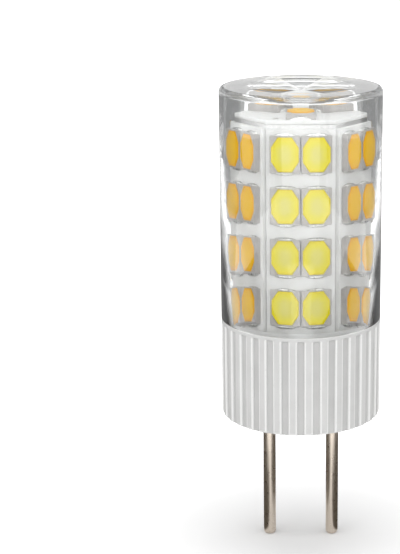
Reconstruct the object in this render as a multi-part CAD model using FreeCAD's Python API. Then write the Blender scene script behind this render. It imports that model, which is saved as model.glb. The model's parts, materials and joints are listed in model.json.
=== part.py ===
"""Corn LED bulb: a bi-pin lamp with a hexagonal column of LEDs under a clear cover.

Units are millimetres. The origin is the centre of the ceramic base's underside, between
the two pins. +Z runs up the lamp's axis to the cover, X runs through both pins, and -Y is
the front. One face of the hexagonal column looks to the front.
"""
import os
from math import cos, hypot, pi, radians, sin, sqrt

import FreeCAD, Part

V = FreeCAD.Vector
UP = V(0, 0, 1)

# LED packages and how they are laid out on the boards
LED_WIDTH = 2.8
LED_LENGTH = 3.5
LED_HEIGHT = 0.6
LED_FRAME = 0.13
LED_WINDOW_CUT_ACROSS = 0.62
LED_WINDOW_CUT_ALONG = 0.95
LED_CUP_DEPTH = 0.35
LED_COLUMN_GAP = 0.1
LED_ROWS = 4
LED_ROW_PITCH = 4.85
TOP_LED_COUNT = 3
TOP_LED_EDGE_MARGIN = 0.1
PHOSPHOR_CROWN = 0.05
PHOSPHOR_BEVEL = 0.12
SOLDER_WIDTH = 2.0
SOLDER_REACH = 0.22
SOLDER_HEIGHT = 0.3
SOLDER_FLAT = 1.2
SOLDER_TAPER = 0.7

# Boards and the hollow core that they are bonded to
SIDE_COUNT = 6
BOARD_THICKNESS = 0.45
BOARD_SIDE_MARGIN = 0.335
BOARD_TOP_MARGIN = 0.55
BOARD_FOOT_MARGIN = 0.78
TAB_WIDTH = 3.2
TAB_LENGTH = 1.4
CORE_WALL = 0.7
CORE_LIP = 0.37
TOP_BOARD_THICKNESS = 0.4
WIRE_PAD_HOLE = 0.7

# Clear cover
COVER_WALL = 0.5
COVER_TOP = 0.6
COVER_EDGE_RADIUS = 0.5
COVER_EDGE_STEPS = 3
COVER_SIDE_GAP = 0.2
COVER_TOP_GAP = 1.1
FACET_COUNT = 8
FACET_RADIUS = 5.6
FACET_DEPTH = 0.37

# Ceramic base
BASE_HEIGHT = 9.85
RIB_COUNT = 32
RIB_WIDTH = 0.8
RIB_HEIGHT = 0.28
RIB_FLANK = 0.09
RIB_EDGE_CHAMFER = 0.07
RIB_SETBACK = 0.02
RIM_BAND = 0.42
FOOT_CHAMFER = 0.3
FLOOR_THICKNESS = 2.2
SPIGOT_HEIGHT = 0.5
SPIGOT_CLEARANCE = 0.07
WELL_CLEARANCE = 0.18
WELL_DEPTH = 3.0
CORE_LEDGE = 0.25
DRIVER_LEDGE = 0.6
DRIVER_LEDGE_HEIGHT = 1.2

# Contact pins, for a bi-pin holder with 6.35 mm between the pins
PIN_PITCH = 6.35
PIN_DIAMETER = 1.25
PIN_LENGTH = 13.4
PIN_TIP_RADIUS = 0.35
PIN_TIP_STEPS = 2
PIN_STEM_DIAMETER = 1.7
PIN_STEM_CLEARANCE = 0.03
PIN_HEAD_DIAMETER = 2.3
PIN_HEAD_THICKNESS = 0.5
PIN_STUB = 0.9

# Driver board and the parts that stand on it
DRIVER_THICKNESS = 1.0
DRIVER_CLEARANCE = 0.1
PIN_HOLE_CLEARANCE = 0.05
PIN_SOLDER_RING = 0.3
PIN_SOLDER_HEIGHT = 0.6
CHIP_LENGTH = 3.6
CHIP_WIDTH = 2.3
CHIP_BODY_HEIGHT = 1.2
CHIP_EDGE_MARGIN = 0.15
CHIP_SIDE_SHIFT = 0.4
CHIP_LEG_WIDTH = 0.5
CHIP_LEG_REACH = 0.35
CHIP_LEG_THICKNESS = 0.2
CHIP_LEG_PITCH = 1.2
RESISTOR_LENGTH = 1.6
RESISTOR_WIDTH = 0.8
RESISTOR_HEIGHT = 0.45
RESISTOR_CAP = 0.3
CAPACITOR_DIAMETER = 6.3
CAPACITOR_LENGTH = 11.0
CAPACITOR_STANDOFF = 1.8
CAPACITOR_EDGE_CHAMFER = 0.3
CAPACITOR_GROOVE = 0.3
CAPACITOR_GROOVE_HEIGHT = 1.4
CAPACITOR_LEAD_PITCH = 2.5
CAPACITOR_LEAD_DIAMETER = 0.5
WIRE_DIAMETER = 0.9
WIRE_CONDUCTOR = 0.5
WIRE_STRIP = 0.8
WIRE_WALL_GAP = 0.15

# Sizes that follow from the ones above
LED_SPAN = 2 * LED_WIDTH + LED_COLUMN_GAP
BOARD_WIDTH = LED_SPAN + 2 * BOARD_SIDE_MARGIN
CORE_CORNER = BOARD_WIDTH / (2 * sin(pi / SIDE_COUNT))
CORE_APOTHEM = CORE_CORNER * cos(pi / SIDE_COUNT)
CORE_BORE_APOTHEM = CORE_APOTHEM - CORE_WALL
BOARD_FACE = CORE_APOTHEM + BOARD_THICKNESS
LED_FACE = BOARD_FACE + LED_HEIGHT
COVER_BORE = hypot(LED_FACE + PHOSPHOR_CROWN, LED_SPAN / 2) + COVER_SIDE_GAP
BODY_RADIUS = COVER_BORE + COVER_WALL
SPIGOT_RADIUS = COVER_BORE - SPIGOT_CLEARANCE
WELL_RADIUS = CORE_CORNER + WELL_CLEARANCE
CAVITY_RADIUS = CORE_APOTHEM - CORE_LEDGE
DRIVER_RADIUS = CAVITY_RADIUS - DRIVER_CLEARANCE
TOP_LED_RADIUS = CORE_APOTHEM - TOP_LED_EDGE_MARGIN - SOLDER_REACH - LED_LENGTH / 2

SPIGOT_TOP = BASE_HEIGHT + SPIGOT_HEIGHT
CORE_FOOT = SPIGOT_TOP - WELL_DEPTH
BOARD_LENGTH = BOARD_TOP_MARGIN + (LED_ROWS - 1) * LED_ROW_PITCH + LED_LENGTH + BOARD_FOOT_MARGIN
BOARD_TOP = SPIGOT_TOP + BOARD_LENGTH
CORE_TOP = BOARD_TOP + CORE_LIP
TOP_BOARD_FACE = CORE_TOP + TOP_BOARD_THICKNESS
COVER_CEILING = TOP_BOARD_FACE + LED_HEIGHT + PHOSPHOR_CROWN + COVER_TOP_GAP
COVER_CROWN = COVER_CEILING + COVER_TOP

DRIVER_FOOT = FLOOR_THICKNESS + DRIVER_LEDGE_HEIGHT
DRIVER_TOP = DRIVER_FOOT + DRIVER_THICKNESS
PIN_RADIUS = PIN_DIAMETER / 2
WIRE_REACH = CAVITY_RADIUS - WIRE_WALL_GAP - WIRE_DIAMETER / 2
WIRE_ANGLES = {"positive": 60, "negative": 240}


def polygon(points, z=0.0):
    """A flat face with straight sides through the given (x, y) points."""
    corners = [V(x, y, z) for x, y in points]
    return Part.Face(Part.makePolygon(corners + corners[:1]))


def prism(points, z, height):
    """A straight-sided solid that stands on the plane z."""
    return polygon(points, z).extrude(UP * height)


def block(width, depth, height, x=0.0, y=0.0, z=0.0):
    """A box centred on (x, y) that stands on the plane z."""
    return Part.makeBox(width, depth, height, V(x - width / 2, y - depth / 2, z))


def cylinder(radius, z_low, z_high, x=0.0, y=0.0):
    """An upright cylinder between two heights."""
    return Part.makeCylinder(radius, z_high - z_low, V(x, y, z_low))


def regular_polygon(count, corner_radius, first_angle):
    """The (x, y) corners of a regular polygon."""
    angles = [radians(first_angle) + 2 * pi * step / count for step in range(count)]
    return [(corner_radius * cos(angle), corner_radius * sin(angle)) for angle in angles]


def rounded_corner(centre_radius, centre_z, radius, first_angle, steps):
    """Points along a quarter circle of a turned outline, in straight steps."""
    angles = [radians(first_angle + 90 * step / steps) for step in range(steps + 1)]
    return [(centre_radius + radius * cos(angle), centre_z + radius * sin(angle)) for angle in angles]


def revolve_points(points):
    """A solid of revolution about Z from straight runs through (radius, z) points."""
    corners = [V(radius, 0, z) for radius, z in points]
    return Part.Face(Part.makePolygon(corners + corners[:1])).revolve(V(0, 0, 0), UP, 360)


def moved(shape, x=0.0, y=0.0, z=0.0):
    """A copy of the shape, shifted."""
    copy = shape.copy()
    copy.translate(V(x, y, z))
    return copy


def turned(shape, angle):
    """A copy of the shape, turned about the lamp's axis by an angle in degrees."""
    copy = shape.copy()
    copy.rotate(V(0, 0, 0), UP, angle)
    return copy


def facing_front(shape, height):
    """Stand a shape drawn lying on z = 0 up against the front face at the given radius."""
    copy = shape.copy()
    copy.rotate(V(0, 0, 0), V(1, 0, 0), 90)
    copy.translate(V(0, -height, 0))
    return copy


def window_points(inset):
    """The octagonal window of a package, shrunk by an inset on every side."""
    half_across = LED_WIDTH / 2 - LED_FRAME
    half_along = LED_LENGTH / 2 - LED_FRAME
    slope = hypot(LED_WINDOW_CUT_ACROSS, LED_WINDOW_CUT_ALONG)
    corner_shift = inset * (slope - LED_WINDOW_CUT_ALONG) / LED_WINDOW_CUT_ACROSS
    flat_shift = inset * (slope - LED_WINDOW_CUT_ACROSS) / LED_WINDOW_CUT_ALONG
    x_far, y_far = half_across - inset, half_along - inset
    x_near = half_across - LED_WINDOW_CUT_ACROSS - flat_shift
    y_near = half_along - LED_WINDOW_CUT_ALONG - corner_shift
    quarter = [(x_far, y_near), (x_near, y_far)]
    half = quarter + [(-x, y) for x, y in reversed(quarter)]
    return half + [(-x, -y) for x, y in half]


def led_package():
    """One moulded package lying on z = 0, with an octagonal cup in its face."""
    body = block(LED_WIDTH, LED_LENGTH, LED_HEIGHT)
    return body.cut(prism(window_points(0), LED_HEIGHT - LED_CUP_DEPTH, LED_CUP_DEPTH))


def led_phosphor():
    """The phosphor that fills a package's cup and stands a little proud, with a bevelled rim."""
    cup_floor = LED_HEIGHT - LED_CUP_DEPTH
    fill = prism(window_points(0), cup_floor, LED_CUP_DEPTH)
    rim = Part.makePolygon(closed_loop(window_points(0), LED_HEIGHT))
    crown = Part.makePolygon(closed_loop(window_points(PHOSPHOR_BEVEL), LED_HEIGHT + PHOSPHOR_CROWN))
    return fill.fuse(Part.makeLoft([rim, crown], True, True)).removeSplitter()


def closed_loop(points, z):
    """The 3-D corners of a closed polygon at one height."""
    corners = [V(x, y, z) for x, y in points]
    return corners + corners[:1]


def solder_fillets():
    """The two solder joints at the ends of one package: low wedges that narrow outwards and upwards."""
    end = LED_LENGTH / 2
    foot = [(-SOLDER_WIDTH / 2, end), (SOLDER_WIDTH / 2, end),
            (SOLDER_FLAT / 2, end + SOLDER_REACH), (-SOLDER_FLAT / 2, end + SOLDER_REACH)]
    crown = [(x * SOLDER_TAPER, end + (y - end) * SOLDER_TAPER) for x, y in foot]
    wires = [Part.makePolygon(closed_loop(foot, 0)), Part.makePolygon(closed_loop(crown, SOLDER_HEIGHT))]
    fillet = Part.makeLoft(wires, True, True)
    return [fillet, turned(fillet, 180)]


def side_led_places():
    """The (x, z) centres of the packages on the front board."""
    x = (LED_WIDTH + LED_COLUMN_GAP) / 2
    first = BOARD_TOP - BOARD_TOP_MARGIN - LED_LENGTH / 2
    return [(side * x, first - row * LED_ROW_PITCH) for row in range(LED_ROWS) for side in (-1, 1)]


def on_side_board(shapes, face):
    """Copies of shapes drawn for one package, at every place on one side board."""
    standing = [facing_front(shape, BOARD_FACE) for shape in shapes]
    copies = [moved(shape, x=x, z=z) for x, z in side_led_places() for shape in standing]
    return Part.makeCompound([turned(copy, face * 360 / SIDE_COUNT) for copy in copies])


def on_top_board(shapes):
    """Copies of shapes drawn for one package, set round the top board with the first at the front."""
    front = [moved(shape, y=-TOP_LED_RADIUS, z=TOP_BOARD_FACE) for shape in shapes]
    angles = [step * 360 / TOP_LED_COUNT for step in range(TOP_LED_COUNT)]
    return Part.makeCompound([turned(shape, angle) for angle in angles for shape in front])


def side_board(face):
    """One side board on its face of the core, with a tab down into the base's well."""
    middle = -CORE_APOTHEM - BOARD_THICKNESS / 2
    plate = block(BOARD_WIDTH, BOARD_THICKNESS, BOARD_LENGTH, y=middle, z=SPIGOT_TOP)
    tab = block(TAB_WIDTH, BOARD_THICKNESS, TAB_LENGTH, y=middle, z=SPIGOT_TOP - TAB_LENGTH)
    return turned(plate.fuse(tab).removeSplitter(), face * 360 / SIDE_COUNT)


def heat_core():
    """The hollow hexagonal core that carries the boards and stands on the base's ledge."""
    height = CORE_TOP - CORE_FOOT
    bore_corner = CORE_BORE_APOTHEM / cos(pi / SIDE_COUNT)
    outside = prism(regular_polygon(SIDE_COUNT, CORE_CORNER, 0), CORE_FOOT, height)
    return outside.cut(prism(regular_polygon(SIDE_COUNT, bore_corner, 0), CORE_FOOT, height))


def wire_place(pole):
    """The (x, y) centre of a lead wire, in one inner corner of the core."""
    angle = radians(WIRE_ANGLES[pole])
    return WIRE_REACH * cos(angle), WIRE_REACH * sin(angle)


def top_board():
    """The hexagonal board that closes the core, drilled for the ends of the two lead wires."""
    plate = prism(regular_polygon(SIDE_COUNT, CORE_CORNER, 0), CORE_TOP, TOP_BOARD_THICKNESS)
    for pole in WIRE_ANGLES:
        plate = plate.cut(cylinder(WIRE_PAD_HOLE / 2, CORE_TOP, TOP_BOARD_FACE, *wire_place(pole)))
    return plate


def cover_facets():
    """The low many-sided pyramid that is sunk into the cover's top."""
    corners = regular_polygon(FACET_COUNT, FACET_RADIUS, 180 / FACET_COUNT)
    rim = [V(x, y, COVER_CROWN) for x, y in corners]
    apex = V(0, 0, COVER_CROWN - FACET_DEPTH)
    ring = list(zip(rim, rim[1:] + rim[:1]))
    flanks = [Part.Face(Part.makePolygon([low, high, apex, low])) for low, high in ring]
    return Part.Solid(Part.Shell(flanks + [Part.Face(Part.makePolygon(rim + rim[:1]))]))


def cover():
    """The clear cap over the LEDs, with a rounded top edge and a faceted top."""
    inset = COVER_EDGE_RADIUS
    edge = rounded_corner(BODY_RADIUS - inset, COVER_CROWN - inset, inset, 0, COVER_EDGE_STEPS)
    cap = revolve_points([(BODY_RADIUS, BASE_HEIGHT)] + edge + [
        (0, COVER_CROWN), (0, COVER_CEILING), (COVER_BORE, COVER_CEILING), (COVER_BORE, BASE_HEIGHT)])
    return cap.cut(cover_facets())


def base_rib():
    """One rib of the base, drawn at the front: leaning flanks, eased edges and a slanted foot."""
    crest = BODY_RADIUS - RIB_SETBACK
    root, side, half = BODY_RADIUS - 2 * RIB_HEIGHT, crest - RIB_EDGE_CHAMFER, RIB_WIDTH / 2
    foot = half + RIB_FLANK * (side - root) / (side - BODY_RADIUS + RIB_HEIGHT)
    right = [(foot, -root), (half, -side), (half - RIB_EDGE_CHAMFER, -crest)]
    bar = prism(right + [(-x, y) for x, y in reversed(right)], 0, BASE_HEIGHT - RIM_BAND)
    slope = [(-root, 0), (FOOT_CHAMFER - BODY_RADIUS, 0), (-BODY_RADIUS, FOOT_CHAMFER),
             (-BODY_RADIUS, BASE_HEIGHT - RIM_BAND), (-root, BASE_HEIGHT - RIM_BAND)]
    corners = [V(-foot, y, z) for y, z in slope]
    return bar.common(Part.Face(Part.makePolygon(corners + corners[:1])).extrude(V(2 * foot, 0, 0)))


def ceramic_base():
    """The ribbed cup: ribs under a plain rim, spigot for the cover, stepped hollow, pin holes."""
    groove, rim_low = BODY_RADIUS - RIB_HEIGHT, BASE_HEIGHT - RIM_BAND
    ledge = CAVITY_RADIUS - DRIVER_LEDGE
    cup = revolve_points([
        (0, 0), (groove, 0), (groove, rim_low), (BODY_RADIUS, rim_low), (BODY_RADIUS, BASE_HEIGHT),
        (SPIGOT_RADIUS, BASE_HEIGHT), (SPIGOT_RADIUS, SPIGOT_TOP), (WELL_RADIUS, SPIGOT_TOP),
        (WELL_RADIUS, CORE_FOOT), (CAVITY_RADIUS, CORE_FOOT), (CAVITY_RADIUS, DRIVER_FOOT),
        (ledge, DRIVER_FOOT), (ledge, FLOOR_THICKNESS), (0, FLOOR_THICKNESS)])
    rib = base_rib()
    ribs = [turned(rib, (number + 0.5) * 360 / RIB_COUNT) for number in range(RIB_COUNT)]
    body = cup.multiFuse(ribs).removeSplitter()
    hole_radius = PIN_STEM_DIAMETER / 2 + PIN_STEM_CLEARANCE
    for side in (-1, 1):
        body = body.cut(cylinder(hole_radius, 0, FLOOR_THICKNESS, side * PIN_PITCH / 2))
    return body


def contact_pin(side):
    """A turned pin: round-tipped shank, stem in the base, head on its floor, stub for the board."""
    stem, head = PIN_STEM_DIAMETER / 2, PIN_HEAD_DIAMETER / 2
    head_top = FLOOR_THICKNESS + PIN_HEAD_THICKNESS
    stub_top = DRIVER_TOP + PIN_STUB
    inset = PIN_TIP_RADIUS
    tip = rounded_corner(PIN_RADIUS - inset, inset - PIN_LENGTH, inset, -90, PIN_TIP_STEPS)
    pin = revolve_points([(0, -PIN_LENGTH)] + tip + [
        (PIN_RADIUS, 0), (stem, 0), (stem, FLOOR_THICKNESS), (head, FLOOR_THICKNESS), (head, head_top),
        (PIN_RADIUS, head_top), (PIN_RADIUS, stub_top), (0, stub_top)])
    return moved(pin, x=side * PIN_PITCH / 2)


def capacitor_lead_places():
    """The (x, y) centres of the capacitor's two leads."""
    return [(side * CAPACITOR_LEAD_PITCH / 2, 0) for side in (-1, 1)]


def driver_board():
    """The round board on its ledge, drilled for the two pins."""
    board = cylinder(DRIVER_RADIUS, DRIVER_FOOT, DRIVER_TOP)
    hole_radius = PIN_RADIUS + PIN_HOLE_CLEARANCE
    for side in (-1, 1):
        board = board.cut(cylinder(hole_radius, DRIVER_FOOT, DRIVER_TOP, side * PIN_PITCH / 2))
    return board


def pin_solder():
    """The two cones of solder that join the pins' stubs to the driver board."""
    foot = PIN_RADIUS + PIN_SOLDER_RING
    tip = DRIVER_TOP + PIN_SOLDER_HEIGHT
    cone = revolve_points([(PIN_RADIUS, DRIVER_TOP), (foot, DRIVER_TOP), (PIN_RADIUS, tip)])
    return Part.makeCompound([moved(cone, x=side * PIN_PITCH / 2) for side in (-1, 1)])


def chip_centre():
    """The (x, y) centre of a chip: clear of the wire, with its far corner just inside the board's edge."""
    corner = CHIP_LENGTH / 2 + CHIP_LEG_REACH + CHIP_SIDE_SHIFT
    y = sqrt((DRIVER_RADIUS - CHIP_EDGE_MARGIN)**2 - corner**2) - CHIP_WIDTH / 2
    return -CHIP_SIDE_SHIFT, y


def chip_body():
    """The moulded body of one chip behind the axis, with sides that lean in to its top."""
    lean = CHIP_LEG_THICKNESS
    half_x, half_y = CHIP_LENGTH / 2, CHIP_WIDTH / 2
    foot = [(-half_x, -half_y), (half_x, -half_y), (half_x, half_y), (-half_x, half_y)]
    crown = [(x - lean * x / half_x, y - lean * y / half_y) for x, y in foot]
    wires = [Part.makePolygon(closed_loop(foot, DRIVER_TOP + CHIP_LEG_THICKNESS)),
             Part.makePolygon(closed_loop(crown, DRIVER_TOP + CHIP_LEG_THICKNESS + CHIP_BODY_HEIGHT))]
    return moved(Part.makeLoft(wires, True, True), *chip_centre())


def chip_legs():
    """The four flat legs under the ends of one chip, resting on the board."""
    legs = []
    centre_x, centre_y = chip_centre()
    for x_side in (-1, 1):
        for y_side in (-1, 1):
            x = centre_x + x_side * CHIP_LENGTH / 2
            y = centre_y + y_side * CHIP_LEG_PITCH / 2
            legs.append(block(2 * CHIP_LEG_REACH, CHIP_LEG_WIDTH, CHIP_LEG_THICKNESS, x, y, DRIVER_TOP))
    return legs


def resistor():
    """The chip resistor's ceramic body, at the middle of the driver board."""
    return block(RESISTOR_WIDTH, RESISTOR_LENGTH - 2 * RESISTOR_CAP, RESISTOR_HEIGHT, z=DRIVER_TOP)


def resistor_caps():
    """The resistor's two soldered end caps."""
    reach = (RESISTOR_LENGTH - RESISTOR_CAP) / 2
    cap = block(RESISTOR_WIDTH, RESISTOR_CAP, RESISTOR_HEIGHT, z=DRIVER_TOP)
    return Part.makeCompound([moved(cap, y=side * reach) for side in (-1, 1)])


def capacitor():
    """The smoothing capacitor's can, with its crimp groove, standing on its leads inside the core."""
    low = DRIVER_TOP + CAPACITOR_STANDOFF
    high, groove = low + CAPACITOR_LENGTH, low + CAPACITOR_GROOVE_HEIGHT
    radius, edge = CAPACITOR_DIAMETER / 2, CAPACITOR_EDGE_CHAMFER
    return revolve_points([(0, low), (radius - edge, low), (radius, low + edge),
                           (radius, groove - CAPACITOR_GROOVE), (radius - CAPACITOR_GROOVE, groove),
                           (radius, groove + CAPACITOR_GROOVE), (radius, high - edge),
                           (radius - edge, high), (0, high)])


def capacitor_leads():
    """The capacitor's two leads, from the can down to the driver board's face."""
    low, high = DRIVER_TOP, DRIVER_TOP + CAPACITOR_STANDOFF
    leads = [cylinder(CAPACITOR_LEAD_DIAMETER / 2, low, high, x, y) for x, y in capacitor_lead_places()]
    return Part.makeCompound(leads)


def wire_conductor(pole):
    """The bare conductor of one lead wire, from the driver board's face through the top board."""
    return cylinder(WIRE_CONDUCTOR / 2, DRIVER_TOP, TOP_BOARD_FACE, *wire_place(pole))


def wire_insulation(pole):
    """The insulation of one lead wire, stripped back at both ends."""
    low, high = DRIVER_TOP + WIRE_STRIP, CORE_TOP - WIRE_STRIP
    sleeve = cylinder(WIRE_DIAMETER / 2, low, high, *wire_place(pole))
    return sleeve.cut(cylinder(WIRE_CONDUCTOR / 2, low, high, *wire_place(pole)))


def all_pieces():
    """Every node's name with its shape."""
    pieces = {
        "cover": cover(),
        "ceramic_base": ceramic_base(),
        "contact_pin_left": contact_pin(-1),
        "contact_pin_right": contact_pin(1),
        "heat_core": heat_core(),
        "top_board": top_board(),
        "top_led_packages": on_top_board([led_package()]),
        "top_led_phosphor": on_top_board([led_phosphor()]),
        "top_led_solder": on_top_board(solder_fillets()),
        "driver_board": driver_board(),
        "pin_solder": pin_solder(),
        "bridge_rectifier": turned(chip_body(), 180),
        "bridge_rectifier_legs": Part.makeCompound([turned(leg, 180) for leg in chip_legs()]),
        "driver_chip": chip_body(),
        "driver_chip_legs": Part.makeCompound(chip_legs()),
        "sense_resistor": resistor(),
        "sense_resistor_caps": resistor_caps(),
        "smoothing_capacitor": capacitor(),
        "capacitor_leads": capacitor_leads(),
        "wire_conductors": Part.makeCompound([wire_conductor(pole) for pole in WIRE_ANGLES]),
    }
    for pole in WIRE_ANGLES:
        pieces[f"wire_insulation_{pole}"] = wire_insulation(pole)
    for face in range(SIDE_COUNT):
        number = face + 1
        pieces[f"side_board_{number}"] = side_board(face)
        pieces[f"side_led_packages_{number}"] = on_side_board([led_package()], face)
        pieces[f"side_led_phosphor_{number}"] = on_side_board([led_phosphor()], face)
        pieces[f"side_led_solder_{number}"] = on_side_board(solder_fillets(), face)
    return pieces


os.makedirs("parts", exist_ok=True)
for name, shape in all_pieces().items():
    shape.exportStep(f"parts/{name}.step")
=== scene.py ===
"""Looks of a corn LED bulb: clear cover, hexagonal column of LEDs, ribbed ceramic base, two pins."""
import json
import logging
from contextlib import contextmanager
from dataclasses import dataclass
from enum import Enum
from math import atan2, cos, hypot, pi, radians, sin
from typing import Callable, Iterator, Sequence

import bmesh
import bpy
from mathutils import Matrix, Vector


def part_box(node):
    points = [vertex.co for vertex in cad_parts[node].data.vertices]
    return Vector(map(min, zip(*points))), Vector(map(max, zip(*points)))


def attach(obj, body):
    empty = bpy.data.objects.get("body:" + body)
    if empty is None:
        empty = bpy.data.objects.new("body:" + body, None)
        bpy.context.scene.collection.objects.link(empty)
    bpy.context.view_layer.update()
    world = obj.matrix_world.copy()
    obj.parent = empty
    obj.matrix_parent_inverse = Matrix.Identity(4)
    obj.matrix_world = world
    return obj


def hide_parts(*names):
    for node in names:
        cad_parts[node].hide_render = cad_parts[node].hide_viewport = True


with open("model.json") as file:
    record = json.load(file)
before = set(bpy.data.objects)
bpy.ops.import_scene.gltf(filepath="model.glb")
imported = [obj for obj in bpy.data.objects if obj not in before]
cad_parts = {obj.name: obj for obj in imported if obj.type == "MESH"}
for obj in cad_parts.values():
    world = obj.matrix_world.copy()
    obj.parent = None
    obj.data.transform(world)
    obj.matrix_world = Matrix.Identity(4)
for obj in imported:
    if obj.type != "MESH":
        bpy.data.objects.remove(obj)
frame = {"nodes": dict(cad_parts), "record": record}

LOG = logging.getLogger("corn_bulb")
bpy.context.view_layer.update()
MM = 0.001
BODY = "root"
SIDES = 6
MERGE = 1e-8
SPIN_STEPS = 192

Colour = tuple[float, float, float, float]
Material = bpy.types.Material
Node = bpy.types.Node
Object = bpy.types.Object
Profile = list[tuple[float, float]]
Socket = bpy.types.NodeSocket
Tree = bpy.types.NodeTree


def linear(hex_colour: str) -> Colour:
    """Turn an sRGB hex colour into linear RGBA.

    Args:
        hex_colour: six hex digits, such as "F2C81E".

    Returns:
        Linear red, green, blue and an alpha of 1.
    """
    channels = [int(hex_colour[i:i + 2], 16) / 255 for i in (0, 2, 4)]
    bent = [c / 12.92 if c <= 0.04045 else ((c + 0.055) / 1.055) ** 2.4 for c in channels]
    return (*bent, 1.0)


def grey(value: float) -> Colour:
    """A neutral colour of one value."""
    return (value, value, value, 1.0)


def add_node(tree: Tree, kind: str, settings: dict | None = None, inputs: dict | None = None,
             stops: Sequence[tuple[float, Colour]] = ()) -> Node:
    """Add a shader node with its settings, values, links and colour stops.

    Args:
        tree: the node tree to add to.
        kind: Blender's node type, such as "ShaderNodeTexNoise".
        settings: attributes of the node.
        inputs: values or output sockets, by input name or number.
        stops: place and colour of each stop, where the node has a ramp.

    Returns:
        The new node.
    """
    node = tree.nodes.new(kind)
    for name, value in (settings or {}).items():
        setattr(node, name, value)
    for name, value in (inputs or {}).items():
        if isinstance(value, Socket):
            tree.links.new(value, node.inputs[name])
        else:
            node.inputs[name].default_value = value
    if stops:
        elements = node.color_ramp.elements
        while len(elements) < len(stops):
            elements.new(0.5)
        for element, (place, colour) in zip(elements, stops):
            element.position = place
            element.color = colour
    return node


@dataclass(frozen=True)
class Pattern:
    """A cloudy pattern of a real size, drawn out along the piece where its making leaves lines."""

    size_mm: float
    detail: float = 3.0
    stretch: tuple[float, float, float] = (1, 1, 1)

    def lay(self, tree: Tree) -> Socket:
        """Lay the pattern over a piece by its Object coordinates.

        Args:
            tree: the material's node tree.

        Returns:
            The pattern's value.
        """
        spot = add_node(tree, "ShaderNodeTexCoord")
        place = add_node(tree, "ShaderNodeMapping", inputs={
            "Vector": spot.outputs["Object"], "Scale": self.stretch})
        cloud = add_node(tree, "ShaderNodeTexNoise", inputs={
            "Vector": place.outputs["Vector"], "Scale": 1.0 / (self.size_mm * MM), "Detail": self.detail})
        return cloud.outputs["Fac"]

    def blend(self, tree: Tree, *stops: tuple[float, Colour]) -> Socket:
        """Run the pattern through colour stops.

        Args:
            tree: the material's node tree.
            stops: place and colour of each stop.

        Returns:
            The blended colour.
        """
        ramp = add_node(tree, "ShaderNodeValToRGB", inputs={"Fac": self.lay(tree)}, stops=stops)
        return ramp.outputs["Color"]


class Finish:
    """A surface finish that makes one procedural material and remembers it."""

    name = "finish"

    def __init__(self) -> None:
        """Start with no material made."""
        self._material: Material | None = None

    def material(self) -> Material:
        """Give the finish's material, made on first use.

        Returns:
            The material.
        """
        if self._material is None:
            self._material = bpy.data.materials.new(self.name)
            self._material.use_nodes = True
            tree = self._material.node_tree
            self.dress(tree, tree.nodes["Principled BSDF"])
        return self._material

    def dress(self, tree: Tree, surface: Node) -> None:
        """Add the finish's nodes to a fresh tree.

        Args:
            tree: the material's node tree.
            surface: its Principled BSDF.
        """
        raise NotImplementedError

    @staticmethod
    def tint(tree: Tree, surface: Node, pattern: Pattern, dark: str, light: str) -> None:
        """Colour the surface by a pattern.

        Args:
            tree: the material's node tree.
            surface: its Principled BSDF.
            pattern: where the two colours lie.
            dark: hex colour of the dark spots.
            light: hex colour of the light spots.
        """
        colour = pattern.blend(tree, (0.3, linear(dark)), (0.7, linear(light)))
        tree.links.new(colour, surface.inputs["Base Color"])

    @staticmethod
    def polish(tree: Tree, surface: Node, pattern: Pattern, low: float, high: float,
               span: tuple[float, float] = (0.3, 0.7)) -> None:
        """Vary the surface's roughness by a pattern.

        Args:
            tree: the material's node tree.
            surface: its Principled BSDF.
            pattern: where it is smoother or rougher.
            low: least roughness.
            high: greatest roughness.
            span: values of the pattern at which these are reached.
        """
        rough = pattern.blend(tree, (span[0], grey(low)), (span[1], grey(high)))
        tree.links.new(rough, surface.inputs["Roughness"])

    @staticmethod
    def relief(tree: Tree, surface: Node, pattern: Pattern, depth_mm: float, strength: float = 1.0) -> None:
        """Raise a pattern on the surface.

        Args:
            tree: the material's node tree.
            surface: its Principled BSDF.
            pattern: what is raised.
            depth_mm: how high it stands.
            strength: share of the height that shows.
        """
        bump = add_node(tree, "ShaderNodeBump", inputs={
            "Height": pattern.lay(tree), "Distance": depth_mm * MM, "Strength": strength})
        tree.links.new(bump.outputs["Normal"], surface.inputs["Normal"])


class ClearPolycarbonate(Finish):
    """Moulded and polished clear polycarbonate: bright edges and faint flow waves."""

    name = "clear_moulded_polycarbonate"

    def dress(self, tree: Tree, surface: Node) -> None:
        """Clear body with a nearly smooth skin; see Finish.dress."""
        surface.inputs["Base Color"].default_value = linear("FCFDFD")
        surface.inputs["Transmission Weight"].default_value = 1.0
        surface.inputs["IOR"].default_value = 1.5
        self.polish(tree, surface, Pattern(1.2), 0.0, 0.03, (0.3, 0.8))
        self.relief(tree, surface, Pattern(5.0, 1.0, (1, 1, 0.3)), 0.012)


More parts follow.
